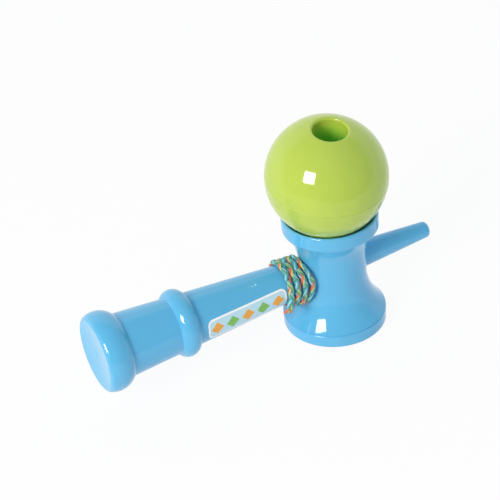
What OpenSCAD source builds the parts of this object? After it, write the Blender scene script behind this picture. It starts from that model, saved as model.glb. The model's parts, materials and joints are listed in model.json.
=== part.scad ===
// Cup and ball toy: a tapered handle with a spike, a crosspiece with two cups,
// and a hollow ball on a cord. The crosspiece stands on the rim of its big cup.
// Millimetres. Z is the crosspiece's axis, X runs along the handle to the spike.

/* [Ball] */
// Outside diameter of the ball
ball_d = 60; // [54:0.5:66]
// Wall of the two half shells
ball_wall = 3.4; // [2:0.1:4]
// Diameter of the hole that takes the spike
hole_d = 16.7; // [15:0.1:20]
// Depth of that hole below the top of the ball
hole_depth = 36; // [32:0.5:40]
// Rounding of the hole's mouth
hole_round = 1.2; // [0.8:0.1:3]
// Wall of the tube that lines the hole
tube_wall = 2; // [1.2:0.1:3]
// Lean of the ball in the cup, towards the front
ball_lean = 9.5; // [0:0.5:16]
// Lean of the ball in the cup, towards the spike
ball_side = 1.5; // [-6:0.5:6]
// Height of the lip that centres the half shells on each other
seam_lip = 1.6; // [1:0.1:2.5]
// Depth of the small groove along the seam
seam_groove = 0.15; // [0.1:0.05:0.5]

/* [String hole and stopper] */
// Diameter of the string hole at the bottom of the ball
string_hole_d = 4.2; // [3.6:0.1:6]
// Rounding of the string hole's mouth
string_round = 1.2; // [0.5:0.1:1.8]
// Depth of the stopper's pocket below the floor of the spike hole
pocket_depth = 14; // [13:0.5:16]
// Diameter of the stopper bead
stopper_d = 10.4; // [8:0.2:12]
// Height of the stopper bead
stopper_h = 7; // [5:0.5:8]
// Rounding of the stopper bead's edges
stopper_round = 1.5; // [0.5:0.1:2]
// Diameter of the knot on top of the stopper bead
knot_d = 5.6; // [4:0.2:6.4]

/* [Crosspiece] */
// Height of the crosspiece, from rim to rim
cross_h = 64; // [60:0.5:70]
// Diameter of its waist
waist_d = 34; // [31:0.5:38]
// Length of the straight waist below the handle's axis
waist_from = 2.2; // [1:0.1:5]
// Length of the straight waist above the handle's axis
waist_to = 4.8; // [3:0.1:6]
// Radius of the flare to the small cup
flare_r = 33.5; // [32:0.5:38]
// Wall of the spool between the cups
spool_wall = 3; // [1.8:0.1:3.4]
// Wall of the sleeve that holds the handle
sleeve_wall = 2.6; // [1.6:0.1:3.4]
// Chamfer along the joint lines
joint_chamfer = 0.4; // [0.2:0.1:0.6]

/* [Small cup] */
// Outside diameter of the rim
small_rim_d = 48; // [46.5:0.5:50]
// Diameter of the mouth
small_mouth_d = 44.8; // [43:0.2:45.4]
// Height of the rim band
small_band_h = 8.5; // [7:0.5:9]
// Depth of the bowl
small_depth = 15; // [13:0.5:16]
// Rounding of the band's lower edge
small_edge = 1.8; // [0.8:0.1:2.5]
// Diameter of the spigot that sits in the spool
small_spigot_d = 39.2; // [38:0.2:40]

/* [Big cup] */
// Outside diameter of the rim
big_rim_d = 52; // [50:0.5:54]
// Diameter of the mouth
big_mouth_d = 47.2; // [44:0.2:48]
// Height of the rim band
big_band_h = 6.8; // [6:0.2:8]
// Depth of the bowl
big_depth = 15; // [12:0.5:16]
// Rounding of the band's outer edges
big_edge = 0.9; // [0.5:0.1:1.2]
// Diameter of the spigot that sits in the spool
big_spigot_d = 44; // [43:0.2:45]
// Rounding of the mouth's edge
mouth_round = 0.5; // [0.3:0.1:0.8]

/* [Both cups] */
// Wall of the bowls
cup_wall = 2.4; // [1.4:0.1:2.8]
// Height of the spigots
spigot_h = 2; // [1.2:0.1:2.4]

/* [Handle] */
// Height of the handle's axis above the middle of the crosspiece
handle_z = 0.2; // [-1:0.1:1.5]
// Length from the crosspiece's axis to the open end
handle_len = 116; // [104:1:130]
// Length from the crosspiece's axis to the tip of the spike
spike_len = 56; // [48:1:66]
// Diameter at the open end
barrel_d = 31.8; // [28:0.2:34]
// Diameter that the taper reaches at the tip
tip_d = 8.2; // [7.4:0.2:10]
// Rounding of the tip
tip_round = 2; // [1:0.1:3]
// Length of the spike that is solid, from its tip
tip_solid = 40; // [8:0.5:50]
// Wall of the handle
handle_wall = 1.6; // [1.2:0.1:2.6]

/* [Ring] */
// Distance of the ring from the crosspiece's axis
ring_x = 85; // [72:1:90]
// Outside diameter of the ring
ring_d = 34.2; // [32:0.2:37]
// Radius of the ring's rounded back
ring_r = 5.7; // [5:0.1:7]
// Length of the ring on the crosspiece's side, to its flat face
ring_front = 4.4; // [3.5:0.1:4.8]

/* [Butt cap] */
// Outside diameter of the cap
cap_d = 40; // [37:0.5:44]
// Radius of the cap's rounded edge
cap_r = 10.4; // [7.5:0.1:11]
// Length of that edge from its thickest place to the cap's flat back
cap_back = 7.9; // [5:0.1:8.5]
// Diameter of the dished end face
dish_d = 36.4; // [28:0.2:36.8]
// Depth of the dish
dish_depth = 1.2; // [1:0.1:3.5]
// Rounding of the crest between the dish and the edge
crest_round = 2.4; // [0.5:0.1:3]
// Wall behind the dish
cap_wall = 2.2; // [1.6:0.1:4]
// Wall of the cap's rounded edge
cap_shell = 2.2; // [1.6:0.1:4]
// Length of the spigot that sits in the handle
cap_spigot = 10; // [6:0.5:14]
// Wall of that spigot
cap_spigot_wall = 1.6; // [1.2:0.1:3]

/* [Label] */
// Distance from the winding to the label
label_gap = 0.6; // [0.4:0.1:8]
// Distance from the label to the ring
label_ring_gap = 4.6; // [2:0.1:10]
// Width of the label, straight across
label_w = 11; // [7:0.5:13]
// Rounding of the label's corners
label_round = 3; // [1:0.1:3.4]
// Thickness of the label
label_t = 0.2; // [0.1:0.05:0.4]
// Turn of the label below the front of the handle, in degrees
label_drop = 4; // [-20:1:20]

/* [Cord] */
// Diameter of the cord
cord_d = 2.6; // [2:0.1:2.7]
// Whole turns of the cord on the handle, with a half turn more
wind_turns = 3; // [2:1:4]
// Distance from one turn to the next on top of the handle
wind_pitch = 3.2; // [3.2:0.1:3.6]
// Gap between the last turn and the waist, on top of the handle
wind_gap = 1.1; // [0.8:0.1:2]
// Lean of the last turn's front towards the crosspiece
wind_lean = 2.9; // [0:0.1:3.5]
// Slack of the last turn below the handle
wind_slack = 2.4; // [0:0.1:3]

/* [Fits] */
// Clearance between pieces that are pushed or glued together
slip = 0.05; // [0.02:0.01:0.1]
// Clearance between the handle's taper and its sleeve
taper_slip = 0.05; // [0.02:0.01:0.1]
// Clearance between the bowls and the inside of the spool
bowl_gap = 0.2; // [0.1:0.05:0.5]
// Clearance between the ball and the rim it rests on
seat_gap = 0.3; // [0.2:0.05:0.5]
// Clearance of the cord between the ball and the rim, both sides together
cord_gap = 0.6; // [0.4:0.1:1]
// Clearance of the stopper bead in its pocket
pocket_gap = 0.3; // [0.2:0.05:0.5]
// Clearance of the cord in the stopper bead
thread_gap = 0.15; // [0.1:0.05:0.3]

/* [Hidden] */
$fn = 96;

blue = "#62b4e6";
green = "#b7d25a";
teal = "#2f8f86";
pale = "#d9eef4";
far = 300;
eps = 0.01;

// Crosspiece
big_r = big_rim_d / 2;
small_r = small_rim_d / 2;
waist_r = waist_d / 2;
axis_z = cross_h / 2 + handle_z;
waist_low = axis_z - waist_from;
waist_high = axis_z + waist_to;
spool_from = big_band_h;
spool_to = cross_h - small_band_h;

// The flare to the big cup runs just past the outside of its band
flare_past = 0.33;
big_flare = big_r + flare_past - waist_r;
big_flare_r = (pow(big_flare, 2) + pow(waist_low - spool_from, 2)) / (2 * big_flare);

// Small cup: the rim is a full round between the mouth and the outside, and the
// bowl meets it at an angle below its middle
small_meet = 10;
small_lip = (small_rim_d - small_mouth_d) / 4;
small_lip_r = (small_rim_d + small_mouth_d) / 4;
small_lip_z = cross_h - small_lip;
small_meet_r = small_lip_r - small_lip * cos(small_meet);
small_rise = small_depth - small_lip * (1 + sin(small_meet));
small_bowl_r = (pow(small_meet_r, 2) + pow(small_rise, 2)) / (2 * small_rise);
small_bowl_z = cross_h - small_depth + small_bowl_r;

// Big cup
big_bowl_r = (pow(big_mouth_d / 2, 2) + pow(big_depth, 2)) / (2 * big_depth);
big_bowl_z = big_depth - big_bowl_r;

// Handle
butt_x = -handle_len;
function handle_r(x) = tip_d / 2 + (barrel_d - tip_d) / 2 * (spike_len - x) / (spike_len + handle_len);
function bore_r(x) = handle_r(x) - handle_wall;
cap_mid_r = cap_d / 2 - cap_r;
cap_mid_x = butt_x - cap_back;
crest_x = cap_mid_x - sqrt(pow(cap_r, 2) - pow(dish_d / 2 - cap_mid_r, 2));
dish_r = (pow(dish_d / 2, 2) + pow(dish_depth, 2)) / (2 * dish_depth);
dish_x = crest_x + dish_depth - dish_r;

// Middle of the crest's rounding, which touches the rounded edge and the dish
cap_mid = [cap_mid_r, cap_mid_x];
dish_mid = [0, dish_x];
crest_span = norm(dish_mid - cap_mid);
crest_way = (dish_mid - cap_mid) / crest_span;
crest_in = cap_r - crest_round;
crest_along =
  (pow(crest_in, 2) - pow(dish_r + crest_round, 2) + pow(crest_span, 2)) / (2 * crest_span);
crest_aside = sqrt(pow(crest_in, 2) - pow(crest_along, 2));
crest_mid = cap_mid + crest_along * crest_way + crest_aside * [-crest_way.y, crest_way.x];

// Ball: it leans on the front of the rim, and on the cord where that crosses the rim
ball_r = ball_d / 2;
cord_r = cord_d / 2;
cord_turn = 50;
front_reach = ball_r + small_lip + seat_gap;
back_reach = ball_r + small_lip + cord_d + cord_gap;
ball_shift = (pow(back_reach, 2) - pow(front_reach, 2)) / (4 * small_lip_r);
ball_z = small_lip_z + sqrt(pow(front_reach, 2) - pow(small_lip_r - ball_shift, 2));
ball_at = [-ball_shift * cos(cord_turn), -ball_shift * sin(cord_turn), ball_z];
ball_axis = [cos(ball_lean) * sin(ball_side), -sin(ball_lean), cos(ball_lean) * cos(ball_side)];
hole_r = hole_d / 2;
floor_z = ball_r - hole_depth;
post_r = hole_r + tube_wall;
pocket_z = floor_z - pocket_depth;
pocket_r = stopper_d / 2 + pocket_gap;
string_r = string_hole_d / 2;
stopper_z = pocket_z + seat_gap / 3;
stopper_top = stopper_z + stopper_h;
lip_r = ball_r - ball_wall / 2;

// A point on the ball's own axis, at a height above its centre
function ball_point(h) = ball_at + h * ball_axis;

// Cord on the handle: a helix that climbs the front, goes over the top and ends at the
// back. Turn by turn its front leans further and it hangs lower.
wind_top = -(waist_r + wind_gap + cord_r);
wind_start = wind_top - (wind_turns + 0.25) * wind_pitch;
wind_lift = 0.15;
function wind_x(t) =
  wind_start + wind_pitch * t + wind_lean * t / wind_turns * pow(max(cos(360 * t), 0), 2);
function wind_r(t) =
  handle_r(wind_x(t)) + cord_r + wind_lift + wind_slack * t / wind_turns * pow(min(sin(360 * t), 0), 2);
function wind_point(t) = [
  wind_x(t),
  -wind_r(t) * cos(360 * t),
  axis_z + wind_r(t) * sin(360 * t)
];
turn_steps = 24;
wind_turn_points = [for (i = [0 : turn_steps * (wind_turns + 0.5)]) wind_point(i / turn_steps)];
wind_in = wind_turn_points[0] - [0, 0, cord_d];
wind_out = wind_turn_points[len(wind_turn_points) - 1] - [0, 0, cord_d];
wind_path = concat([wind_in], wind_turn_points, [wind_out]);

// Least gap between turns, from the points of different turns
wind_gaps = [
  for (i = [0 : len(wind_path) - 1 - turn_steps / 2])
    for (j = [i + turn_steps / 2 : len(wind_path) - 1])
      norm(wind_path[i] - wind_path[j]) - cord_d
];
echo(least_gap_between_turns = min(wind_gaps));

// Tail: it hangs from the first turn, at the front
tail_path = [
  wind_in,
  wind_in - [0, 0, 1],
  [-30.3, -11.4, 26.8],
  [-31.2, -11.2, 24.2],
  [-32, -10.8, 21.6]
];

// Riser: from the last turn round the back of the waist, up and over the small cup's rim
riser_path = [
  wind_out,
  wind_out - [0, 0, 1],
  [-18.4, 10.9, 26.8],
  [-17.4, 12, 25],
  [-15.4, 13.8, 24.4],
  [-12, 16, 25.4],
  [-7.6, 18.4, 28],
  [-3, 19.5, 31.8],
  [2, 19.9, 36.4],
  [6.4, 20.2, 41.6],
  [10, 21, 47],
  [12.6, 22, 52],
  [14.4, 21.8, 56.4],
  [15.8, 20.5, 60.2],
  [16.5, 19.6, 63.2],
  [16.3, 19.4, 64.4],
  [15.7, 18.7, 65.3],
  [14.9, 17.8, 65.6],
  [14.6, 17.4, 65.6]
];

// Leader: from the rim down into the cup, under the ball and up to the stopper
leader_path = concat(
  [
    [14.3, 17, 65.4],
    [14.1, 16.8, 65.4],
    [13.8, 16.4, 64.8],
    [13.4, 16, 64],
    [12.3, 14.6, 60.9],
    [10.4, 12.4, 57.5],
    [8.2, 10.2, 54.8],
    [5, 9.4, 53.4],
    [1.7, 8.2, 52.6],
    [-0.2, 6.3, 52.4]
  ],
  [for (h = [3, 1.6, 0]) ball_point(-ball_r - h)],
  [ball_point(pocket_z - 2), ball_point(stopper_top)]
);

// Tube swept along points: rings square to the path, joined by triangles
function unit(v) = v / norm(v);
function along(p, i) =
  i == 0 ? unit(p[1] - p[0])
  : i == len(p) - 1 ? unit(p[i] - p[i - 1])
  : unit(unit(p[i] - p[i - 1]) + unit(p[i + 1] - p[i]));
function square_to(v, t) = unit(v - (v * t) * t);
function first_side(t) = square_to(abs(t[2]) < 0.8 ? [0, 0, 1] : [1, 0, 0], t);
function sides(p, i = 0, last = [0, 0, 0]) =
  i == len(p) ? []
  : let (t = along(p, i), s = i == 0 ? first_side(t) : square_to(last, t))
    concat([s], sides(p, i + 1, s));

module tube(p, r, n) {
  s = sides(p);
  m = len(p);
  points = [
    for (i = [0 : m - 1])
      let (t = along(p, i), a = s[i], b = cross(t, a))
        for (k = [0 : n - 1])
          p[i] + r * (cos(360 * k / n) * a + sin(360 * k / n) * b)
  ];
  ends = [p[0], p[m - 1]];
  c0 = m * n;
  c1 = m * n + 1;
  skin = [
    for (i = [0 : m - 2])
      for (k = [0 : n - 1])
        let (a = i * n + k, b = i * n + (k + 1) % n, c = a + n, d = b + n)
          each [[a, c, b], [b, c, d]]
  ];
  start = [for (k = [0 : n - 1]) [c0, k, (k + 1) % n]];
  stop = [for (k = [0 : n - 1]) [c1, (m - 1) * n + (k + 1) % n, (m - 1) * n + k]];
  polyhedron(concat(points, ends), concat(skin, start, stop), convexity = 8);
}

// Turns a profile (radius, place along the handle) about the handle's axis
module turned() {
  translate([0, 0, axis_z])
    rotate([0, 90, 0])
      rotate_extrude()
        children();
}

// Puts a piece of the ball in its place in the small cup
module in_ball() {
  translate(ball_at)
    rotate([ball_lean, ball_side, 0])
      children();
}

// Area under the spool's outside, set in by a wall
module spool_area(wall, from, to) {
  difference() {
    translate([0, from])
      square([big_r, to - from]);
    translate([waist_r + big_flare_r, waist_low])
      circle(big_flare_r + wall);
    translate([waist_r + flare_r, waist_high])
      circle(flare_r + wall);
    translate([waist_r - wall, waist_low])
      square([flare_r, waist_high - waist_low]);
  }
}

// Radius of the spool's outside at a height
function flare_out(r, d) = waist_r + r - sqrt(pow(r, 2) - pow(max(d, 0), 2));
function flare_at(z) =
  z < waist_low ? min(big_r, flare_out(big_flare_r, waist_low - z)) : flare_out(flare_r, z - waist_high);

// Handle: one hollow taper from the open end to the tip of the spike, with a ring
module handle() {
  tip_x = spike_len - tip_round;
  tip_r = handle_r(tip_x);
  core_x = spike_len - tip_solid;
  color(blue)
    turned()
      difference() {
        union() {
          polygon([[0, butt_x], [handle_r(butt_x), butt_x], [tip_r, tip_x], [0, tip_x]]);
          translate([0, tip_x])
            square([tip_r - tip_round, tip_round]);
          translate([tip_r - tip_round, tip_x])
            circle(tip_round);
          intersection() {
            translate([ring_d / 2 - ring_r, -ring_x])
              circle(ring_r);
            translate([0, -ring_x - far + ring_front])
              square([far, far]);
          }
        }
        polygon([
          [0, butt_x - 1],
          [bore_r(butt_x - 1), butt_x - 1],
          [bore_r(core_x), core_x],
          [0, core_x]
        ]);
      }
}

// Butt cap: a rounded edge round a dished face, with a spigot in the handle's open end
module butt_cap() {
  spigot_x = butt_x + cap_spigot;
  core_r = bore_r(spigot_x) - slip - cap_spigot_wall;
  color(blue)
    turned()
      difference() {
        union() {
          intersection() {
            translate(cap_mid)
              circle(cap_r);
            translate([0, butt_x - far])
              square([far, far]);
          }
          translate([0, crest_x])
            square([cap_mid_r, butt_x - crest_x]);
          polygon([
            [0, butt_x - 1],
            [bore_r(butt_x) - slip, butt_x - 1],
            [bore_r(butt_x) - slip, butt_x],
            [bore_r(spigot_x) - slip, spigot_x],
            [0, spigot_x]
          ]);
        }
        translate(dish_mid)
          circle(dish_r, $fn = 200);
        difference() {
          polygon([
            crest_mid,
            crest_mid + 3 * crest_round * (crest_mid - cap_mid) / crest_in,
            crest_mid + 3 * crest_round * (dish_mid - crest_mid) / (dish_r + crest_round)
          ]);
          translate(crest_mid)
            circle(crest_round);
        }
        difference() {
          union() {
            translate([0, crest_x])
              square([core_r, far]);
            intersection() {
              translate(cap_mid)
                circle(cap_r - cap_shell);
              translate([0, butt_x - cap_shell - far])
                square([far, far]);
            }
          }
          translate(dish_mid)
            circle(dish_r + cap_wall, $fn = 200);
        }
      }
}

// Spool of the crosspiece, with the sleeve that the handle is pushed into
module crosspiece_spool() {
  top_r = flare_at(spool_to);
  low_r = flare_at(spool_from);
  sleeve_r = handle_r(-waist_r) + taper_slip + sleeve_wall;
  color(blue)
    difference() {
      union() {
        rotate_extrude()
          difference() {
            spool_area(0, spool_from, spool_to);
            spool_area(spool_wall, spool_from - 1, spool_to + 1);
            translate([0, small_bowl_z])
              circle(small_bowl_r + cup_wall + bowl_gap);
            translate([0, big_bowl_z])
              circle(big_bowl_r + cup_wall + bowl_gap);
            translate([0, spool_from - 1])
              square([big_spigot_d / 2 + slip, spigot_h + 1 + seat_gap]);
            translate([0, spool_to - spigot_h - seat_gap])
              square([small_spigot_d / 2 + slip, spigot_h + 1 + seat_gap]);
            polygon([
              [top_r - joint_chamfer, spool_to],
              [top_r + 1, spool_to + eps],
              [top_r + 1, spool_to - joint_chamfer - 1],
              [flare_at(spool_to - joint_chamfer), spool_to - joint_chamfer]
            ]);
            polygon([
              [low_r - joint_chamfer, spool_from],
              [low_r + 1, spool_from - eps],
              [low_r + 1, spool_from + joint_chamfer],
              [low_r, spool_from + joint_chamfer]
            ]);
          }
        intersection() {
          translate([-waist_r, 0, axis_z])
            rotate([0, 90, 0])
              cylinder(h = waist_d, r = sleeve_r);
          translate([0, 0, spool_from])
            cylinder(h = spool_to - spool_from, r = waist_r - eps);
        }
      }
      turned()
        polygon([
          [0, -far / 6],
          [handle_r(-far / 6) + taper_slip, -far / 6],
          [handle_r(far / 6) + taper_slip, far / 6],
          [0, far / 6]
        ]);
    }
}

// Small cup: rim band, bowl and spigot; the ball rests on its rounded rim
module small_cup() {
  color(blue)
    rotate_extrude()
      union() {
        difference() {
          union() {
            translate([0, spool_to])
              square([small_r - small_edge, small_lip_z - spool_to]);
            translate([0, spool_to + small_edge])
              square([small_r, small_lip_z - spool_to - small_edge]);
            translate([small_r - small_edge, spool_to + small_edge])
              circle(small_edge);
            translate([0, spool_to - spigot_h])
              square([small_spigot_d / 2, spigot_h + eps]);
            intersection() {
              translate([0, small_bowl_z])
                circle(small_bowl_r + cup_wall);
              square([small_spigot_d / 2, spool_to + eps]);
            }
          }
          translate([0, small_bowl_z])
            circle(small_bowl_r);
        }
        translate([small_lip_r, small_lip_z])
          circle(small_lip);
      }
}

// Big cup: rim band, bowl and spigot; the toy stands on its flat rim
module big_cup() {
  inner_r = big_mouth_d / 2;
  color(blue)
    rotate_extrude()
      difference() {
        union() {
          translate([0, big_edge])
            square([big_r, big_band_h - 2 * big_edge]);
          square([big_r - big_edge, big_band_h]);
          translate([big_r - big_edge, big_edge])
            circle(big_edge);
          translate([big_r - big_edge, big_band_h - big_edge])
            circle(big_edge);
          translate([0, big_band_h - eps])
            square([big_spigot_d / 2, spigot_h + eps]);
          intersection() {
            translate([0, big_bowl_z])
              circle(big_bowl_r + cup_wall);
            translate([0, big_band_h - eps])
              square([big_spigot_d / 2, far]);
          }
        }
        intersection() {
          translate([0, big_bowl_z])
            circle(big_bowl_r);
          square([inner_r + 1, far]);
        }
        polygon([
          [inner_r - 1, -eps],
          [inner_r + mouth_round, -eps],
          [inner_r - mouth_round / 2, mouth_round]
        ]);
      }
}

// Label: a thin printed strip on the taper, with rounded corners
module label_sticker() {
  from = wind_start - cord_r - label_gap;
  to = -ring_x + ring_front + label_ring_gap;
  length = from - to;
  inner = label_round;
  color(pale)
    intersection() {
      turned()
        polygon([
          [handle_r(from), from],
          [handle_r(from) + label_t, from],
          [handle_r(to) + label_t, to],
          [handle_r(to), to]
        ]);
      translate([to, 0, axis_z])
        rotate([label_drop, 0, 0])
          rotate([90, 0, 0])
            linear_extrude(height = barrel_d)
              union() {
                translate([inner, -label_w / 2])
                  square([length - 2 * inner, label_w]);
                translate([0, -label_w / 2 + inner])
                  square([length, label_w - 2 * inner]);
                for (x = [inner, length - inner])
                  for (y = [inner, -inner])
                    translate([x, sign(y) * (label_w / 2 - inner)])
                      circle(inner);
              }
    }
}

module cord_tail() {
  color(teal)
    tube(tail_path, cord_r, 8);
}

module cord_winding() {
  color(teal)
    tube(wind_path, cord_r, 6);
}

module cord_riser() {
  color(teal)
    tube(riser_path, cord_r, 8);
}

module cord_leader() {
  color(teal)
    tube(leader_path, cord_r, 8);
}

// Stopper bead, loose in its pocket at the bottom of the spike hole
module stopper_bead() {
  in_r = cord_r + thread_gap;
  out_r = stopper_d / 2;
  q = stopper_round;
  color("ivory")
    in_ball()
      translate([0, 0, stopper_z])
        rotate_extrude()
          difference() {
            union() {
              square([out_r - q, stopper_h]);
              translate([0, q])
                square([out_r, stopper_h - 2 * q]);
              for (z = [q, stopper_h - q])
                translate([out_r - q, z])
                  circle(q);
            }
            translate([0, -1])
              square([in_r, stopper_h + 2]);
          }
}

// Knot that keeps the bead on the cord
module stopper_knot() {
  color(teal)
    in_ball()
      translate([0, 0, stopper_top])
        rotate_extrude()
          intersection() {
            translate([0, knot_d * 0.3])
              circle(knot_d / 2);
            square([knot_d, knot_d]);
          }
}

// Upper half of the ball, with the tube that lines the spike hole
module ball_upper_shell() {
  q = hole_round;
  mouth_z = sqrt(pow(ball_r - q, 2) - pow(hole_r + q, 2));
  edge = ball_r / (ball_r - q);
  color(green)
    in_ball()
      rotate_extrude()
        difference() {
          union() {
            difference() {
              intersection() {
                circle(ball_r);
                square([far, far]);
              }
              circle(ball_r - ball_wall);
            }
            intersection() {
              circle(ball_r);
              translate([hole_r, floor_z])
                square([tube_wall, far]);
            }
          }
          translate([0, floor_z - 1])
            square([hole_r, far]);
          difference() {
            polygon([
              [hole_r - eps, mouth_z],
              [hole_r + q, mouth_z],
              [(hole_r + q) * edge * 1.1, mouth_z * edge * 1.1],
              [hole_r - eps, ball_r + q]
            ]);
            translate([hole_r + q, mouth_z])
              circle(q);
          }
          translate([post_r + slip, -1])
            square([lip_r - post_r - slip, seam_lip + slip + 1]);
          polygon([
            [ball_r - seam_groove, -eps],
            [ball_r + 1, -eps],
            [ball_r + 1, seam_groove],
            [ball_r - eps, seam_groove]
          ]);
        }
}

// Lower half of the ball, with the post that holds the stopper's pocket and the string hole
module ball_lower_shell() {
  q = string_round;
  mouth_z = -sqrt(pow(ball_r - q, 2) - pow(string_r + q, 2));
  edge = ball_r / (ball_r - q);
  color(green)
    in_ball()
      rotate_extrude()
        difference() {
          union() {
            difference() {
              intersection() {
                circle(ball_r);
                translate([0, -far])
                  square([far, far]);
              }
              circle(ball_r - ball_wall);
            }
            intersection() {
              circle(ball_r);
              translate([0, -far])
                square([post_r, far + floor_z]);
            }
            difference() {
              translate([0, -ball_wall])
                square([lip_r - slip, ball_wall + seam_lip]);
              translate([0, -ball_wall - 1])
                square([ball_r - ball_wall, ball_wall + seam_lip + 2]);
            }
          }
          translate([0, pocket_z])
            square([pocket_r, far]);
          translate([0, -far])
            square([string_r, 2 * far]);
          difference() {
            polygon([
              [string_r - eps, mouth_z],
              [string_r + q, mouth_z],
              [(string_r + q) * edge * 1.1, mouth_z * edge * 1.1],
              [string_r - eps, -ball_r - q]
            ]);
            translate([string_r + q, mouth_z])
              circle(q);
          }
          polygon([
            [ball_r - seam_groove, eps],
            [ball_r + 1, eps],
            [ball_r + 1, -seam_groove],
            [ball_r - eps, -seam_groove]
          ]);
        }
}

handle();
butt_cap();
crosspiece_spool();
small_cup();
big_cup();
label_sticker();
cord_tail();
cord_winding();
cord_riser();
cord_leader();
stopper_bead();
stopper_knot();
ball_upper_shell();
ball_lower_shell();
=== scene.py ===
# %% [markdown]
# # Cup and ball toy
# The toy is a tapered handle with a spike, jammed through a crosspiece that has a
# cup at each end. A hollow ball sits in the small cup, and a braided cord, wound
# on the handle, ties the ball to it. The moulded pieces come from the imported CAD
# model and keep its exact shapes. This lesson gives them their finishes, and it
# models what CAD leaves plain: the braid of the cord, its frayed tail and its knot.

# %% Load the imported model
import json
import math

import bpy
import numpy as np
from mathutils import Matrix, Vector


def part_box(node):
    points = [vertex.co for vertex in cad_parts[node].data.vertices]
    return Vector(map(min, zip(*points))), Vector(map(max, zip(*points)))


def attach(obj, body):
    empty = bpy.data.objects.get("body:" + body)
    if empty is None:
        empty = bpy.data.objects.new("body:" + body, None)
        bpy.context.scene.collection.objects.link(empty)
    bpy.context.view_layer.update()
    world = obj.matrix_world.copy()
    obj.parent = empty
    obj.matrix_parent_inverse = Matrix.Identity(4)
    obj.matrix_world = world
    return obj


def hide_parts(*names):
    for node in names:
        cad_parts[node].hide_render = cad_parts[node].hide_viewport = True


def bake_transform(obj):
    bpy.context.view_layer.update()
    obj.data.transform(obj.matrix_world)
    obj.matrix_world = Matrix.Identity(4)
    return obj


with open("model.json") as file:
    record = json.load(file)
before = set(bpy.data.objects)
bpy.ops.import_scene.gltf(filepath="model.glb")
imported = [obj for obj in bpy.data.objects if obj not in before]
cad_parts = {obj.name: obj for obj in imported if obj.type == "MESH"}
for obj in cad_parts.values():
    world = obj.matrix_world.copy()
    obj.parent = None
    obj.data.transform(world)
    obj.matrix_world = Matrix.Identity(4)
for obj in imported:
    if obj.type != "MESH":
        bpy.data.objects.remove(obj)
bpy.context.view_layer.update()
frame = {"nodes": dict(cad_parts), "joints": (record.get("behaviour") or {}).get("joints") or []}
nodes = frame["nodes"]
mm = 0.001

# %% [markdown]
# ## Camera
# The picture was taken from the front left, looking down on the toy with a long
# lens. A camera can be placed by hand until it looks right, but here the view was
# measured: a turn, a height and a small roll about the line of sight. The three
# axes of the camera are worked out from these angles, so that each of them can be
# changed by itself. The softbox is placed by a turn and a height too, so one function
# gives the direction to both.

# %% Camera at the photograph's angle
view_turn = math.radians(-25.33)
view_height = math.radians(35.04)
view_roll = math.radians(-5.18)
view_distance = 800 * mm
view_aim = Vector((-39.2, 10.9, 50.4)) * mm
focal_length = 118.0
sensor_width = 36.0


def direction_to(turn, height):
    """Direction from the toy to a place at a turn from the front and a height."""
    return Vector((
        math.sin(turn) * math.cos(height),
        -math.cos(turn) * math.cos(height),
        math.sin(height),
    ))


to_camera = direction_to(view_turn, view_height)
level = Vector((math.cos(view_turn), math.sin(view_turn), 0))
upright = to_camera.cross(level)
image_right = math.cos(view_roll) * level + math.sin(view_roll) * upright
image_up = to_camera.cross(image_right)

lens = bpy.data.cameras.new("studio_lens")
lens.sensor_width = sensor_width
lens.lens = focal_length
camera = bpy.data.objects.new("studio_camera", lens)
facing = Matrix((image_right, image_up, to_camera)).transposed().to_4x4()
camera.matrix_world = Matrix.Translation(view_aim + view_distance * to_camera) @ facing
bpy.context.scene.collection.objects.link(camera)
bpy.context.scene.camera = camera
bpy.context.scene.view_settings.view_transform = "Standard"
print("camera at", [round(v, 3) for v in camera.matrix_world.translation])

# %% [markdown]
# ## Helpers for materials
# Colours are written as the sRGB hex values that a paint program shows. Blender's
# shaders work with linear light, so one function converts them. A second function
# adds a shader node, sets its options and links or sets its inputs in one call.

# %% Colours and nodes
def linear(code):
    """An sRGB hex colour as linear RGBA."""
    parts = [int(code[i:i + 2], 16) / 255 for i in (1, 3, 5)]
    return [c / 12.92 if c <= 0.04045 else ((c + 0.055) / 1.055) ** 2.4 for c in parts] + [1.0]


def add_node(tree, kind, inputs=None, **settings):
    """Adds a node, with its settings and its linked or fixed inputs."""
    node = tree.nodes.new(kind)
    for name, value in settings.items():
        setattr(node, name, value)
    for name, value in (inputs or {}).items():
        if isinstance(value, bpy.types.NodeSocket):
            tree.links.new(value, node.inputs[name])
        else:
            node.inputs[name].default_value = value
    return node


def new_material(name):
    """An empty node material with its output."""
    material = bpy.data.materials.new(name)
    material.use_nodes = True
    material.node_tree.nodes.clear()
    return material, material.node_tree, add_node(material.node_tree, "ShaderNodeOutputMaterial")


def dress(piece, *materials):
    """Gives a piece these materials in place of those it has."""
    piece.data.materials.clear()
    for material in materials:
        piece.data.materials.append(material)


print("white is", linear("#FFFFFF"))

# %% [markdown]
# ## Cord yarns
# The cord is braided from polyester yarn in five colours. Polyester filament is
# silky: it is a little rough, with a soft sheen at its edges, and fine filaments run
# along every yarn. The UV map of the braid has millimetres along the yarn in U and
# the way round it in V, so a stretched noise draws the filaments. Real filaments are
# hundredths of a millimetre thick, so they are drawn coarser here, or they wouldn't show.

# %% Polyester yarn
filament_width = 0.12
filament_length = 2.5
filament_height = 0.06
yarn_round = 3.0


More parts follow.
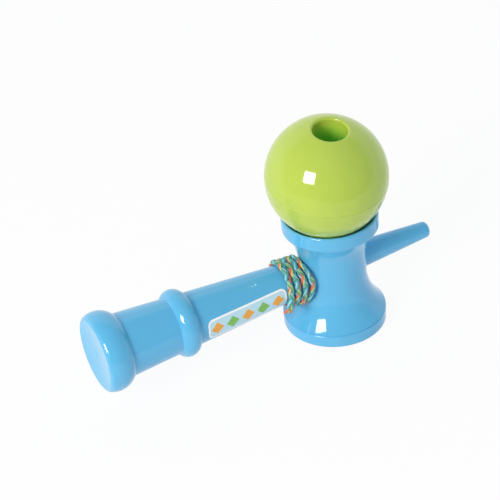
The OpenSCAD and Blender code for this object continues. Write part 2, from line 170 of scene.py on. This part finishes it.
def polyester_yarn(name, colour, shade):
    material, tree, output = new_material(name)
    place = add_node(tree, "ShaderNodeTexCoord").outputs["UV"]
    along = add_node(tree, "ShaderNodeMapping", {
        "Vector": place, "Scale": (1 / filament_length, yarn_round / filament_width, 1),
    })
    fibres = add_node(tree, "ShaderNodeTexNoise", {
        "Vector": along.outputs["Vector"], "Scale": 1.0, "Detail": 2.0, "Roughness": 0.6,
    })
    tint = add_node(tree, "ShaderNodeMix", {
        "Factor": fibres.outputs["Fac"], "A": linear(shade), "B": linear(colour),
    }, data_type="RGBA")
    ridges = add_node(tree, "ShaderNodeBump", {
        "Height": fibres.outputs["Fac"], "Strength": 0.5, "Distance": filament_height * mm,
    })
    silk = add_node(tree, "ShaderNodeBsdfPrincipled", {
        "Base Color": tint.outputs["Result"], "Normal": ridges.outputs["Normal"],
        "Roughness": 0.5, "IOR": 1.57, "Sheen Weight": 0.25, "Sheen Roughness": 0.4,
    })
    tree.links.new(silk.outputs["BSDF"], output.inputs["Surface"])
    return material


yarns = {
    "teal": polyester_yarn("polyester_yarn_teal", "#58C0C6", "#2A8E98"),
    "cyan": polyester_yarn("polyester_yarn_pale_cyan", "#B8E4EE", "#7CC2D2"),
    "green": polyester_yarn("polyester_yarn_green", "#68B67C", "#3E8A5A"),
    "yellow": polyester_yarn("polyester_yarn_yellow", "#DCE496", "#AEBF70"),
    "orange": polyester_yarn("polyester_yarn_orange", "#EA7858", "#C65038"),
    # The core is a real part of the cord, but its dark colour is a painted shade for the gaps
    # between the yarns, the only place where it shows
    "core": polyester_yarn("polyester_yarn_core_painted_shade", "#2A7476", "#164A4E"),
}
yarn_names = list(yarns)
print("yarns:", yarn_names)

# %% [markdown]
# ## The cord's route
# The cord starts as a frayed tail at the front, winds round the handle beside the
# crosspiece, goes round the back of the waist and over the small cup's rim, and then
# down under the ball into the string hole. The turns follow the handle's taper, lean
# more and hang lower from one to the next, so a loop works them out. The free
# stretches are points listed one by one.

# %% Sizes and points of the route
cord_d = 2.6 * mm
cord_r = cord_d / 2
barrel_r = 15.9 * mm
tip_r = 4.1 * mm
axis_z = 32.2 * mm
wind_turns = 3
wind_end = wind_turns + 0.5
wind_pitch = 3.2 * mm
wind_start = -29.8 * mm
wind_lean = 2.9 * mm
wind_slack = 2.4 * mm
wind_lift = 0.15 * mm
turn_points = 24

tail_points = [(-32, -10.8, 21.6), (-31.2, -11.2, 24.2), (-30.3, -11.4, 26.8)]
riser_points = [
    (-18.4, 10.9, 26.8), (-17.4, 12, 25), (-15.4, 13.8, 24.4), (-12, 16, 25.4),
    (-7.6, 18.4, 28), (-3, 19.5, 31.8), (2, 19.9, 36.4), (6.4, 20.2, 41.6),
    (10, 21, 47), (12.6, 22, 52), (14.4, 21.8, 56.4), (15.8, 20.5, 60.2),
    (16.5, 19.6, 63.2), (16.3, 19.4, 64.4), (15.7, 18.7, 65.3), (14.9, 17.8, 65.6),
    (14.6, 17.4, 65.6),
]
leader_points = [
    (14.3, 17, 65.4), (14.1, 16.8, 65.4), (13.8, 16.4, 64.8), (13.4, 16, 64),
    (12.3, 14.6, 60.9), (10.4, 12.4, 57.5), (8.2, 10.2, 54.8), (5, 9.4, 53.4),
    (1.7, 8.2, 52.6), (-0.2, 6.3, 52.4),
]
handle_low, handle_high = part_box("handle")


def handle_r(x):
    """Radius of the handle's taper at a place along it."""
    share = (x - handle_low.x) / (handle_high.x - handle_low.x)
    return barrel_r + (tip_r - barrel_r) * share


def wind_point(t):
    """A point of the winding after t turns, from the front and up."""
    a = 2 * math.pi * t
    x = wind_start + wind_pitch * t + wind_lean * t / wind_turns * max(math.cos(a), 0) ** 2
    r = handle_r(x) + cord_r + wind_lift + wind_slack * t / wind_turns * min(math.sin(a), 0) ** 2
    return Vector((x, -r * math.cos(a), axis_z + r * math.sin(a)))


turns = [wind_point(i / turn_points) for i in range(round(wind_end * turn_points) + 1)]
first, last = ([round(v / mm, 1) for v in point] for point in (turns[0], turns[-1]))
print("turns from", first, "to", last)

# %% [markdown]
# A curve that passes through all of these points makes the bends soft. Blender has such
# curves, but the braid needs evenly spaced points, so the same formula is used here. At
# the ball's end the cord runs along the ball's own axis, which the joint gives.

# %% Smooth route
braid_step = 0.3 * mm
curve_steps = 24
spin_joint = next(joint for joint in frame["joints"] if joint["name"] == "ball_spin")
ball_at = Vector(spin_joint["pos_m"])
ball_axis = Vector(spin_joint["axis"])
leader_heights = (-33, -31.6, -30, -22)
stopper_top = -12.9 * mm


def on_ball_axis(height):
    """A point on the ball's own axis, at a height above its centre."""
    return ball_at + ball_axis * height


def lengths_along(route):
    """Length of the route up to each of its points."""
    return np.concatenate([[0], np.cumsum(np.linalg.norm(np.diff(route, axis=0), axis=1))])


def smooth_route(points, step):
    """Evenly spaced points of a smooth curve through the given ones."""
    p = np.array([list(v) for v in points])
    p = np.vstack([2 * p[0] - p[1], p, 2 * p[-1] - p[-2]])
    t = np.linspace(0, 1, curve_steps, endpoint=False)[:, None]
    curve = [
        0.5 * (2 * b + (c - a) * t + (2 * a - 5 * b + 4 * c - d) * t ** 2
               + (3 * b - a - 3 * c + d) * t ** 3)
        for a, b, c, d in zip(p, p[1:], p[2:], p[3:])
    ]
    curve = np.vstack(curve + [p[-2:-1]])
    length = lengths_along(curve)
    even = np.linspace(0, length[-1], round(length[-1] / step) + 1)
    return np.stack([np.interp(even, length, curve[:, i]) for i in range(3)], axis=1)


down = Vector((0, 0, -cord_d))
tail_points, riser_points, leader_points = (
    [Vector(p) * mm for p in points] for points in (tail_points, riser_points, leader_points)
)
cord_route = smooth_route(
    tail_points + [turns[0] + down] + turns + [turns[-1] + down] + riser_points, braid_step)
leader_end = [on_ball_axis(h * mm) for h in leader_heights] + [on_ball_axis(stopper_top)]
leader_route = smooth_route(leader_points + leader_end, braid_step)

# %% [markdown]
# ## The braid
# Four strands of three yarns each make this cord. Two strands wind one way and two the
# other, and they pass over and under each other in turn, in long slanting stitches. It
# could be a bump on a plain tube, but then its edge would be straight. Here each yarn
# is a flat tube of its own. First come the tubes: rings of points square to a line,
# joined by faces, with the UV map that the yarn's material reads.

# %% Tubes along lines
yarn_sides = 6
first_aside = (0.0, 1.0, 0.3)


def sides_along(route):
    """Side and second side at each point of a route, turning as little as they can."""
    ahead = np.gradient(route, axis=0)
    ahead /= np.linalg.norm(ahead, axis=1)[:, None]
    side = np.zeros_like(route)
    start = np.cross(ahead[0], first_aside)
    side[0] = start / np.linalg.norm(start)
    for i in range(1, len(route)):
        s = side[i - 1] - ahead[i] * (side[i - 1] @ ahead[i])
        side[i] = s / np.linalg.norm(s)
    return side, np.cross(ahead, side)


def tube(centre, out, wide, high, sides=yarn_sides):
    """Points, faces and UV of a closed tube. out points away from the cord's middle."""
    n = len(centre)
    ahead = np.gradient(centre, axis=0)
    ahead /= np.linalg.norm(ahead, axis=1)[:, None]
    up = out - ahead * np.sum(out * ahead, axis=1)[:, None]
    up /= np.linalg.norm(up, axis=1)[:, None]
    across = np.cross(ahead, up)
    angle = (np.arange(sides) * 2 * np.pi / sides)[None, :, None]
    wide, high = np.broadcast_to(wide, n)[:, None], np.broadcast_to(high, n)[:, None]
    rings = (centre[:, None] + np.cos(angle) * (across * wide)[:, None]
             + np.sin(angle) * (up * high)[:, None])
    i, k = np.meshgrid(np.arange(n - 1), np.arange(sides), indexing="ij")
    a, b = i * sides + k, i * sides + (k + 1) % sides
    faces = np.stack([a, a + sides, b + sides, b], axis=-1).reshape(-1, 4).tolist()
    faces += [list(range(sides)), list(range(n * sides - 1, n * sides - sides - 1, -1))]
    u = lengths_along(centre) / mm
    uv = np.stack([
        np.stack([u[i], u[i + 1], u[i + 1], u[i]], axis=-1),
        np.stack([k, k, k + 1, k + 1], axis=-1) / sides,
    ], axis=-1).reshape(-1, 2)
    ends = [(u[0], 0.5)] * sides + [(u[-1], 0.5)] * sides
    return rings.reshape(-1, 3), faces, np.vstack([uv, ends])


def yarn_mesh(name, tubes):
    """One object of all the tubes, each with the material of its yarn."""
    points, faces, uvs, tints = [], [], [], []
    for tint, (tube_points, tube_faces, tube_uv) in tubes:
        faces += [[v + len(points) for v in face] for face in tube_faces]
        points += tube_points.tolist()
        uvs.append(tube_uv)
        tints += [yarn_names.index(tint)] * len(tube_faces)
    mesh = bpy.data.meshes.new(name)
    mesh.from_pydata(points, [], faces)
    layer = mesh.uv_layers.new(name="yarn")
    layer.data.foreach_set("uv", np.vstack(uvs).astype(np.float32).ravel())
    mesh.polygons.foreach_set("use_smooth", [True] * len(faces))
    piece = bpy.data.objects.new(name, mesh)
    bpy.context.scene.collection.objects.link(piece)
    dress(piece, *yarns.values())
    mesh.polygons.foreach_set("material_index", tints)
    return piece


print("points on the route:", len(cord_route), "and", len(leader_route))

# %% [markdown]
# Now the strands. Each goes round the route once in a lay, and a cosine lifts it over
# one crossing and sinks it under the next. The two directions use opposite signs, so
# where one is up, the other is down. A slow sway keeps the stitches from looking made
# by a machine. On the handle the cord is pressed a little flat, and this fades out towards
# the rim. At the tail the strands come apart: each yarn leans its own way along the handle
# and has its own length.

# %% Braid of four strands
braid_lay = 13.4 * mm
braid_r = 0.76 * mm
braid_wave = 0.19 * mm
yarn_w = 0.54 * mm
yarn_h = 0.4 * mm
yarn_apart = 0.56
core_r = 0.8 * mm
sway_length = 31 * mm
sway_angle = 0.22
pressed = 0.3
pressed_end = 70 * mm
strands = [
    (1, 0, ("orange", "orange", "yellow")), (1, 1, ("teal", "cyan", "teal")),
    (-1, 0, ("teal", "green", "cyan")), (-1, 1, ("green", "yellow", "teal")),
]
fray_length = 9 * mm
fray_spread = 0.7
fray_swell = 0.35
core_end = 0.3
fray_lean = [-1.5, 1.5, -1.1, -1.9, -1.3, -0.7, 0.1, 0.7, 1.2, -0.2, 0.4, 1.0]
fray_out = [-0.7, -0.3, -0.7, 0.4, 0.6, 0.5, 0.5, 0.4, 0.6, -0.4, -0.5, 0.4]
fray_short = [1.1, 0.8, 1.6, 1.8, 1.5, 1.3, 1.5, 1.4, 1.8, 2.6, 2.8, 1.7]


def braid(route, size=1.0, frayed=False):
    """The yarns and the core of a braid along a route, with their colours."""
    side, other = sides_along(route)
    s = lengths_along(route)
    loose = np.clip(1 - s / fray_length, 0, 1) ** fray_spread if frayed else 0 * s
    lay = 2 * np.pi * s / braid_lay
    rise = np.cos(2 * lay) * (1 - loose)
    flat = 1 + pressed * np.clip((s[-1] - s - pressed_end) / pressed_end, 0, 1)
    tubes = []
    for way, place, colours in strands:
        sway = sway_angle * np.sin(2 * np.pi * s / sway_length + 2 * place + way)
        for beside, colour in zip((-1, 0, 1), colours):
            angle = way * lay + place * np.pi + beside * yarn_apart + sway
            out = np.cos(angle)[:, None] * side + np.sin(angle)[:, None] * other
            k = len(tubes)
            lean = Vector((fray_lean[k], -fray_out[k], 0)) * mm
            away = out * size * (braid_r + way * braid_wave * rise)[:, None]
            away[:, 0] *= flat
            line = route + away + loose[:, None] * np.array(lean)
            kept = s >= (fray_short[k] * mm if frayed else 0)
            full = (size * (1 + fray_swell * loose))[kept]
            tubes.append((colour, tube(line[kept], out[kept], full * yarn_w, full * yarn_h)))
    # The core fills the braid. Only the gaps show it, and its dark colour paints the shade there.
    shut = loose < core_end
    tubes.append(("core", tube(route[shut], side[shut], size * core_r, size * core_r)))
    return tubes


wound_cord = yarn_mesh("wound_cord", braid(cord_route, frayed=True))
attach(wound_cord, "toy")
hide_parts("cord_tail", "cord_winding", "cord_riser")
print("wound cord:", len(wound_cord.data.polygons), "faces")

# %% [markdown]
# ## The leader and its knot
# The last stretch of the cord goes from the rim to the ball. When the ball is lifted,
# its upper end goes along and its lower end stays on the rim, so this stretch is a
# piece of its own. Here it is built and set in place. The ends of a level line for its
# bend are worked out, at the rim and on the ball's axis, but nothing here makes it bend.
# A bend spread along such a line would make the top and the underside of the cord rise
# alike, so that it stays thick. Inside the ball the cord ends in a simple round knot, a
# trefoil, pulled down on the stopper bead. The trefoil's formula reaches 3 units from its
# middle, so 4.6 units to the knot's radius leave room for the thickness of the cord itself.

# %% Leader to the ball
bend_end = -31 * mm
leader = yarn_mesh("leader_cord", braid(leader_route))
bend_from = Vector(leader_route[0])
bend_to = on_ball_axis(bend_end)
bend_to.z = bend_from.z
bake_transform(leader)
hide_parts("cord_leader")

knot_r = 2.8 * mm
knot_units = 4.6
knot_depth = 1.2
knot_above = 2.1 * mm
knot_size = 0.62
knot_points = 90
knot_t = np.linspace(0, 2 * np.pi, knot_points)
knot_flat = np.stack([
    np.sin(knot_t) + 2 * np.sin(2 * knot_t),
    np.cos(knot_t) - 2 * np.cos(2 * knot_t),
    -knot_depth * np.sin(3 * knot_t),
], axis=1) * knot_r / knot_units
tilt = Vector((0, 0, 1)).rotation_difference(ball_axis).to_matrix()
knot_route = knot_flat @ np.array(tilt).T + np.array(on_ball_axis(stopper_top + knot_above))
knot = yarn_mesh("cord_knot", braid(knot_route, size=knot_size))
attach(knot, "stopper")
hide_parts("stopper_knot")
print("leader:", len(leader.data.polygons), "faces, knot:", len(knot.data.polygons), "faces")

# %% [markdown]
# ## Moulded plastic
# The handle, the cups and the ball are injection-moulded ABS with the pigment in the
# plastic. A polished mould gives it a high gloss, with a faint waviness from shrinking
# and hairline scuffs from handling. The colour drifts a little along the flow of the
# melt. The handle also has a fine parting line, top and bottom, where the two halves of
# its mould met. The thin green shells let some light through, so deep in the ball's hole
# the plastic looks a deeper green. That glow is painted light: a brighter, purer green is
# painted into the colour there. Along the seam of the ball it is dull, because the
# edges of the halves aren't polished. All of these are small, but a surface without them
# looks like a computer's.

# %% Glossy ABS
flow_size = 22.0
peel_size = 2.2
peel_height = 0.1
scuff_length = 9.0
scuff_width = 0.25
scuff_turn = (0.3, 0.5, 0.2)
scuff_level = (0.55, 0.8)
polished, scuffed = 0.06, 0.18
parting_width = 0.16
parting_height = 0.05
# Distances from the ball's middle over which the painted glow in its hole fades in
painted_glow_from, painted_glow_to = 27.0, 16.0
seam_width = 0.3
seam_core = 0.7 * seam_width
seam_rough = 0.6


def glossy_abs(name, colour, flow, line=None, painted_glow=None):
    material, tree, output = new_material(name)
    place = add_node(tree, "ShaderNodeTexCoord").outputs["Object"]
    drift = add_node(tree, "ShaderNodeTexNoise", {
        "Vector": place, "Scale": 1 / (flow_size * mm), "Detail": 3.0, "Distortion": 0.8,
    })
    pigment = add_node(tree, "ShaderNodeMix", {
        "Factor": drift.outputs["Fac"], "A": linear(flow), "B": linear(colour),
    }, data_type="RGBA")
    scratch_place = add_node(tree, "ShaderNodeMapping", {
        "Vector": place, "Rotation": scuff_turn,
        "Scale": (1 / (scuff_length * mm), 1 / (scuff_width * mm), 1 / (scuff_width * mm)),
    })
    scratch = add_node(tree, "ShaderNodeTexNoise", {
        "Vector": scratch_place.outputs["Vector"], "Scale": 1.0, "Detail": 1.0,
    })
    rough = add_node(tree, "ShaderNodeMapRange", {
        "Value": scratch.outputs["Fac"],
        "From Min": scuff_level[0], "From Max": scuff_level[1],
        "To Min": polished, "To Max": scuffed,
    }).outputs["Result"]
    peel = add_node(tree, "ShaderNodeTexNoise", {
        "Vector": place, "Scale": 1 / (peel_size * mm), "Detail": 1.0,
    })
    surface = add_node(tree, "ShaderNodeBump", {
        "Height": peel.outputs["Fac"], "Strength": 0.03, "Distance": peel_height * mm,
    })
    if line:
        split = add_node(tree, "ShaderNodeSeparateXYZ", {"Vector": place})
        beside = add_node(tree, "ShaderNodeMath", {0: split.outputs["Y"]}, operation="ABSOLUTE")
        parting = add_node(tree, "ShaderNodeMapRange", {
            "Value": beside.outputs["Value"], "From Min": 0.0, "From Max": parting_width * mm,
            "To Min": 1.0, "To Max": 0.0,
        })
        pigment = add_node(tree, "ShaderNodeMix", {
            "Factor": parting.outputs["Result"], "A": pigment.outputs["Result"], "B": linear(line),
        }, data_type="RGBA")
        surface = add_node(tree, "ShaderNodeBump", {
            "Height": parting.outputs["Result"], "Normal": surface.outputs["Normal"],
            "Strength": 0.4, "Distance": parting_height * mm,
        })
    # Painted light: deeper in the ball's hole the colour turns a brighter, purer green. This is a
    # painted glow of the light that comes through the thin shell.
    if painted_glow:
        inward = add_node(tree, "ShaderNodeVectorMath", {
            0: place, 1: ball_at,
        }, operation="DISTANCE")
        inside = add_node(tree, "ShaderNodeMapRange", {
            "Value": inward.outputs["Value"], "From Min": painted_glow_from * mm, "From Max": painted_glow_to * mm,
            "To Min": 0.0, "To Max": 1.0,
        })
        pigment = add_node(tree, "ShaderNodeMix", {
            "Factor": inside.outputs["Result"], "A": pigment.outputs["Result"], "B": linear(painted_glow),
        }, data_type="RGBA")
        from_centre = add_node(tree, "ShaderNodeVectorMath", {
            0: place, 1: ball_at,
        }, operation="SUBTRACT")
        height = add_node(tree, "ShaderNodeVectorMath", {
            0: from_centre.outputs[0], 1: ball_axis,
        }, operation="DOT_PRODUCT")
        off_seam = add_node(tree, "ShaderNodeMath", {
            0: height.outputs["Value"],
        }, operation="ABSOLUTE")
        dull = add_node(tree, "ShaderNodeMapRange", {
            "Value": off_seam.outputs[0], "From Min": seam_core * mm, "From Max": seam_width * mm,
            "To Min": seam_rough, "To Max": 0.0,
        })
        rough = add_node(tree, "ShaderNodeMath", {
            0: rough, 1: dull.outputs["Result"],
        }, operation="MAXIMUM").outputs[0]
    plastic = add_node(tree, "ShaderNodeBsdfPrincipled", {
        "Base Color": pigment.outputs["Result"], "Roughness": rough,
        "Normal": surface.outputs["Normal"], "IOR": 1.54,
    })
    tree.links.new(plastic.outputs["BSDF"], output.inputs["Surface"])
    return material


blue_abs = glossy_abs("moulded_abs_sky_blue", "#60BAE8", "#5AB4E4")
handle_abs = glossy_abs("moulded_abs_sky_blue_parted", "#60BAE8", "#5AB4E4", line="#3F8FBF")
# The ball's green gets a painted glow deep in its hole
green_abs = glossy_abs("moulded_abs_lime_green", "#B9D052", "#B3CB4D", painted_glow="#80E84C")
for name in ("crosspiece_spool", "small_cup", "big_cup", "butt_cap"):
    dress(nodes[name], blue_abs)
dress(nodes["handle"], handle_abs)
for name in ("ball_upper_shell", "ball_lower_shell"):
    dress(nodes[name], green_abs)
print("plastics:", blue_abs.name, handle_abs.name, green_abs.name)

# %% [markdown]
# ## Stopper bead
# The bead in the ball's pocket is a plain turned bead, in ivory polypropylene with a
# satin surface. Only someone who looks down the spike hole sees it.

# %% Satin polypropylene
bead_grain = 0.6
bead_grain_height = 0.05


def satin_polypropylene():
    material, tree, output = new_material("satin_polypropylene_ivory")
    place = add_node(tree, "ShaderNodeTexCoord").outputs["Object"]
    grain = add_node(tree, "ShaderNodeTexNoise", {
        "Vector": place, "Scale": 1 / (bead_grain * mm), "Detail": 2.0,
    })
    tint = add_node(tree, "ShaderNodeMix", {
        "Factor": grain.outputs["Fac"], "A": linear("#E6DCC0"), "B": linear("#F2EAD4"),
    }, data_type="RGBA")
    satin = add_node(tree, "ShaderNodeBump", {
        "Height": grain.outputs["Fac"], "Strength": 0.1, "Distance": bead_grain_height * mm,
    })
    plastic = add_node(tree, "ShaderNodeBsdfPrincipled", {
        "Base Color": tint.outputs["Result"], "Normal": satin.outputs["Normal"],
        "Roughness": 0.38, "IOR": 1.49,
    })
    tree.links.new(plastic.outputs["BSDF"], output.inputs["Surface"])
    return material


dress(nodes["stopper_bead"], satin_polypropylene())
print("bead:", nodes["stopper_bead"].data.materials[0].name)

# %% [markdown]
# ## Label
# The label is a strip of printed film with a white edge, and a row of green and orange
# diamonds. The print is drawn by arithmetic on the Object coordinates, in millimetres
# from the strip's middle: X runs along the handle and Z across the strip. The white edge
# is what lies near the outline, measured from a smaller rectangle inside the rounded
# corners. The diamonds come from dividing the strip into square cells. The film is
# smooth, with a faint grain where the ink lies on it.

# %% Printed film
label_low, label_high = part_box("label_sticker")
label_x = (label_low.x + label_high.x) / 2
label_half_length = (label_high.x - label_low.x) / 2 / mm
label_half_width = 5.5
label_round = 3.0
label_drop = math.radians(4)
label_edge = 0.8
diamond_step = 8.6
diamond_half = (3.6, 3.4)
cell_middle = (0.5, 0, 0.5)
no_limit = 100
ink_grain = 0.35
ink_height = 0.05


def printed_film():
    material, tree, output = new_material("printed_film_label")
    place = add_node(tree, "ShaderNodeTexCoord").outputs["Object"]
    middle = add_node(tree, "ShaderNodeMapping", {
        "Vector": place, "Location": (-label_x, 0, -axis_z),
    })
    strip = add_node(tree, "ShaderNodeMapping", {
        "Vector": middle.outputs["Vector"], "Rotation": (-label_drop, 0, 0),
        "Scale": (1 / mm, 1 / mm, 1 / mm),
    }).outputs["Vector"]
    # White edge: more than a set way from the rectangle inside the corners, at any depth
    away = add_node(tree, "ShaderNodeVectorMath", {0: strip}, operation="ABSOLUTE")
    inner = (label_half_length - label_round, no_limit, label_half_width - label_round)
    beyond = add_node(tree, "ShaderNodeVectorMath", {
        0: away.outputs[0], 1: inner,
    }, operation="SUBTRACT")
    corner = add_node(tree, "ShaderNodeVectorMath", {
        0: beyond.outputs[0], 1: (0, 0, 0),
    }, operation="MAXIMUM")
    reach = add_node(tree, "ShaderNodeVectorMath", {0: corner.outputs[0]}, operation="LENGTH")
    edge = add_node(tree, "ShaderNodeMath", {
        0: reach.outputs["Value"], 1: label_round - label_edge,
    }, operation="GREATER_THAN")
    # Diamonds: one in the middle of each cell, in two inks by turns
    cells = add_node(tree, "ShaderNodeVectorMath", {
        0: strip, 1: (1 / diamond_step, 0, 1 / diamond_step), 2: cell_middle,
    }, operation="MULTIPLY_ADD")
    in_cell = add_node(tree, "ShaderNodeVectorMath", {0: cells.outputs[0]}, operation="FRACTION")
    off_middle = add_node(tree, "ShaderNodeVectorMath", {
        0: in_cell.outputs[0], 1: cell_middle,
    }, operation="SUBTRACT")
    aside = add_node(tree, "ShaderNodeVectorMath", {0: off_middle.outputs[0]}, operation="ABSOLUTE")
    spread = add_node(tree, "ShaderNodeVectorMath", {
        0: aside.outputs[0],
        1: (diamond_step / diamond_half[0], 0, diamond_step / diamond_half[1]),
    }, operation="DOT_PRODUCT")
    diamond = add_node(tree, "ShaderNodeMath", {
        0: spread.outputs["Value"], 1: 1.0,
    }, operation="LESS_THAN")
    ink = add_node(tree, "ShaderNodeTexChecker", {
        "Vector": cells.outputs[0], "Scale": 1.0,
        "Color1": linear("#7CBF57"), "Color2": linear("#F2A93C"),
    })
    field = add_node(tree, "ShaderNodeMix", {
        "Factor": diamond.outputs[0], "A": linear("#BFE3F4"), "B": ink.outputs["Color"],
    }, data_type="RGBA")
    printed = add_node(tree, "ShaderNodeMix", {
        "Factor": edge.outputs[0], "A": field.outputs["Result"], "B": linear("#FFFFFF"),
    }, data_type="RGBA")
    # Grain of the ink, in the gloss and the surface
    grain = add_node(tree, "ShaderNodeTexNoise", {
        "Vector": strip, "Scale": 1 / ink_grain, "Detail": 2.0,
    })
    rough = add_node(tree, "ShaderNodeMapRange", {
        "Value": grain.outputs["Fac"], "From Min": 0.3, "From Max": 0.7,
        "To Min": 0.2, "To Max": 0.36,
    })
    surface = add_node(tree, "ShaderNodeBump", {
        "Height": grain.outputs["Fac"], "Strength": 0.06, "Distance": ink_height * mm,
    })
    film = add_node(tree, "ShaderNodeBsdfPrincipled", {
        "Base Color": printed.outputs["Result"], "Roughness": rough.outputs["Result"],
        "Normal": surface.outputs["Normal"], "IOR": 1.5,
    })
    tree.links.new(film.outputs["BSDF"], output.inputs["Surface"])
    return material


dress(nodes["label_sticker"], printed_film())
print("label", round(2 * label_half_length, 1), "mm long")

# %% [markdown]
# ## Floor
# The toy stands on a sheet of white paper. Paper that is only lit turns grey towards its
# edges, and more light would wash out the toy. So for the camera and for reflections the
# sheet is mostly a plain white that glows, and the rest of it is matt paper, which takes
# the soft shadow.

# %% White paper
floor_size = 0.9
floor_back = 0.18
floor_drop = 0.2 * mm
floor_glow = 0.92
paper_fibre = 1.5


def white_paper():
    material, tree, output = new_material("white_paper_sheet")
    place = add_node(tree, "ShaderNodeTexCoord").outputs["Object"]
    grain = add_node(tree, "ShaderNodeTexNoise", {
        "Vector": place, "Scale": 1 / (paper_fibre * mm), "Detail": 2.0,
    })
    tint = add_node(tree, "ShaderNodeMix", {
        "Factor": grain.outputs["Fac"], "A": linear("#F4F4F4"), "B": linear("#F8F8F8"),
    }, data_type="RGBA")
    paper = add_node(tree, "ShaderNodeBsdfDiffuse", {"Color": tint.outputs["Result"]})
    glow = add_node(tree, "ShaderNodeEmission", {"Color": linear("#FFFFFF"), "Strength": 1.0})
    ray = add_node(tree, "ShaderNodeLightPath")
    mirrored = add_node(tree, "ShaderNodeMath", {
        0: ray.outputs["Is Glossy Ray"], 1: ray.outputs["Is Transmission Ray"],
    }, operation="MAXIMUM")
    seen = add_node(tree, "ShaderNodeMath", {
        0: ray.outputs["Is Camera Ray"], 1: mirrored.outputs[0],
    }, operation="MAXIMUM")
    share = add_node(tree, "ShaderNodeMath", {
        0: seen.outputs[0], 1: floor_glow,
    }, operation="MULTIPLY")
    sheet = add_node(tree, "ShaderNodeMixShader", {
        0: share.outputs[0], 1: paper.outputs[0], 2: glow.outputs[0],
    })
    tree.links.new(sheet.outputs[0], output.inputs["Surface"])
    return material


bpy.ops.object.select_all(action="DESELECT")
bpy.ops.mesh.primitive_plane_add(size=floor_size, location=(0, floor_back, -floor_drop))
floor = bpy.context.object
floor.name = "paper_floor"
bpy.ops.object.transform_apply(location=True, rotation=True, scale=True)
dress(floor, white_paper())
print("floor", floor_size, "m")

# %% [markdown]
# ## Tent
# A white tent stands round the toy. A world of one brightness would do for matt things,
# but gloss shows what is around it. The tent behind the toy is bright and gives the pale
# edges, and the room around the camera is darker, which keeps the colours deep. The
# camera itself sees plain white.

# %% World
tent_behind = 1.1
tent_front = 0.55
tent_edge = (-0.15, 0.2)
world = bpy.data.worlds.new("tent")
bpy.context.scene.world = world
world.use_nodes = True
tree = world.node_tree
tree.nodes.clear()
direction = add_node(tree, "ShaderNodeTexCoord").outputs["Generated"]
toward = add_node(tree, "ShaderNodeVectorMath", {
    0: direction, 1: to_camera,
}, operation="DOT_PRODUCT")
front = add_node(tree, "ShaderNodeMapRange", {
    "Value": toward.outputs["Value"], "From Min": tent_edge[0], "From Max": tent_edge[1],
    "To Min": 0.0, "To Max": 1.0,
}, interpolation_type="SMOOTHSTEP")
tint = add_node(tree, "ShaderNodeMix", {
    "Factor": front.outputs["Result"], "A": linear("#FFFFFF"), "B": linear("#E6F5FF"),
}, data_type="RGBA")
glow_level = add_node(tree, "ShaderNodeMix", {
    "Factor": front.outputs["Result"], "A": tent_behind, "B": tent_front,
}, data_type="FLOAT")
cloth = add_node(tree, "ShaderNodeBackground", {
    "Color": tint.outputs["Result"], "Strength": glow_level.outputs["Result"],
})
white = add_node(tree, "ShaderNodeBackground", {"Color": linear("#FFFFFF"), "Strength": 1.0})
ray = add_node(tree, "ShaderNodeLightPath")
sky = add_node(tree, "ShaderNodeMixShader", {
    0: ray.outputs["Is Camera Ray"], 1: cloth.outputs[0], 2: white.outputs[0],
})
backdrop = add_node(tree, "ShaderNodeOutputWorld")
tree.links.new(sky.outputs[0], backdrop.inputs["Surface"])
print("world:", world.name)

# %% [markdown]
# ## Softbox
# A square softbox stands at the left of the camera, and it shows as a crisp white square
# on the ball and on the foot of the crosspiece. One lamp could do this, but then a
# brighter highlight would also mean more light. So it is two lamps in the same direction:
# the key lights the surfaces, and the catchlight shows in the gloss alone.

# %% Softbox of two lamps
softbox_turn = math.radians(-63.5)
softbox_height = math.radians(27)
softbox_aim = Vector((0, 0, 50)) * mm


def softbox(name, distance, size, watts, colour):
    """A square area light that faces the toy."""
    way = direction_to(softbox_turn, softbox_height)
    light = bpy.data.lights.new(name, "AREA")
    light.shape = "SQUARE"
    light.size = size
    light.energy = watts
    light.color = linear(colour)[:3]
    lamp = bpy.data.objects.new(name, light)
    facing = way.to_track_quat("Z", "Y").to_matrix().to_4x4()
    lamp.matrix_world = Matrix.Translation(softbox_aim + distance * way) @ facing
    bpy.context.scene.collection.objects.link(lamp)
    return lamp


key = softbox("key_softbox", distance=1.6, size=0.56, watts=17.5, colour="#FFF1E2")
key.visible_glossy = False
catchlight = softbox("catchlight", distance=1.5, size=0.525, watts=22, colour="#FFFFFF")
catchlight.visible_diffuse = False
